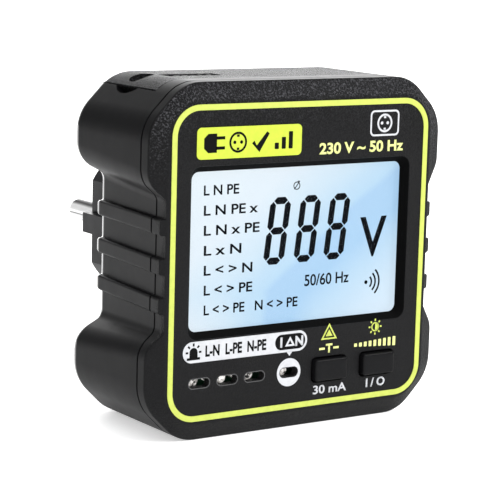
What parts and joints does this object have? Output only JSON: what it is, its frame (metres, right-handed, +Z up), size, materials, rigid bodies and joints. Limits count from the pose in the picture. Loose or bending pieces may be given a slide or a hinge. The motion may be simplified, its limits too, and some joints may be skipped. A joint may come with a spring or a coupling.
{
  "type": "outlet tester plug",
  "caption": "Hand-sized plug-in mains socket tester with a lit display, indicator slots, push buttons and an earthed two-pin plug on its back.",
  "frame": {"origin": "centre of the bounding box at the level of the flat bottom face", "axes": "+Z up, front panel faces -Y, plug pins point along +Y, +X to the right seen from the front"},
  "size_m": [0.072, 0.0792, 0.0722],
  "materials": {
    "case_plastic": "fine matt grain",
    "accent_yellow": "satin",
    "clear_window": "polished",
    "display_glass": "smooth",
    "light_guide": "diffusing",
    "frame_white": "moulded",
    "contact_rubber": "matt",
    "board_green": "solder resist",
    "component_black": "moulded",
    "switch_metal": "plain",
    "plunger_grey": "plain",
    "button_plastic": "satin",
    "led_clear": "clear epoxy",
    "pin_metal": "nickel plated",
    "spring_metal": "nickel plated",
    "strip_brass": "plain",
    "capacitor_yellow": "plain",
    "capacitor_sleeve": "plain",
    "fuse_glass": "plain",
    "resistor_cement": "rough",
    "relay_blue": "plain",
    "screw_steel": "blackened",
    "label_grey": "satin"
  },
  "bodies": {
    "housing": {"front_cover": "case_plastic", "rear_shell": "case_plastic", "plug_base": "case_plastic", "accent_ring": "accent_yellow", "name_plate": "accent_yellow", "display_window": "clear_window", "lcd_glass": "display_glass", "lcd_backlight": "light_guide", "lcd_frame": "frame_white", "contact_strip": "contact_rubber", "display_board": "board_green", "power_board": "board_green", "controller_chip": "component_black", "buzzer": "component_black", "board_header": "component_black", "test_switch": "switch_metal", "backlight_switch": "switch_metal", "indicator_leds": "led_clear", "leakage_led": "led_clear", "live_pin": "pin_metal", "neutral_pin": "pin_metal", "earth_bridge": "strip_brass", "sensor_plate": "strip_brass", "filter_capacitor": "capacitor_yellow", "smoothing_capacitor": "capacitor_sleeve", "fuse": "fuse_glass", "load_resistor": "resistor_cement", "test_relay": "relay_blue", "varistor": "relay_blue", "case_screws": "screw_steel", "board_screws": "screw_steel", "base_screws": "screw_steel", "rating_label": "label_grey"},
    "test_key": {"test_button": "button_plastic"},
    "backlight_key": {"backlight_button": "button_plastic"},
    "test_contact": {"test_plunger": "plunger_grey"},
    "backlight_contact": {"backlight_plunger": "plunger_grey"},
    "upper_clip": {"upper_earth_clip": "spring_metal"},
    "lower_clip": {"lower_earth_clip": "spring_metal"}
  },
  "joints": [
    {"name": "test_button_press", "type": "slide", "parent": "housing", "child": "test_key", "axis": [0, 1, 0], "range_m": [0, 0.0005], "stiffness_N_per_m": 1500},
    {"name": "backlight_button_press", "type": "slide", "parent": "housing", "child": "backlight_key", "axis": [0, 1, 0], "range_m": [0, 0.0005], "stiffness_N_per_m": 1500},
    {"name": "test_plunger_press", "type": "slide", "parent": "housing", "child": "test_contact", "axis": [0, 1, 0], "range_m": [0, 0.0005]},
    {"name": "backlight_plunger_press", "type": "slide", "parent": "housing", "child": "backlight_contact", "axis": [0, 1, 0], "range_m": [0, 0.0005]},
    {"name": "upper_clip_flex", "type": "hinge", "parent": "housing", "child": "upper_clip", "pos_m": [0, -0.0044, 0.0534], "axis": [-1, 0, 0], "range_deg": [0, 2.5], "stiffness_Nm_per_rad": 1.5},
    {"name": "lower_clip_flex", "type": "hinge", "parent": "housing", "child": "lower_clip", "pos_m": [0, -0.0044, 0.0188], "axis": [1, 0, 0], "range_deg": [0, 2.5], "stiffness_Nm_per_rad": 1.5}
  ],
  "couplings": [
    {"joint": "test_plunger_press", "follows": "test_button_press", "ratio": 1},
    {"joint": "backlight_plunger_press", "follows": "backlight_button_press", "ratio": 1}
  ]
}
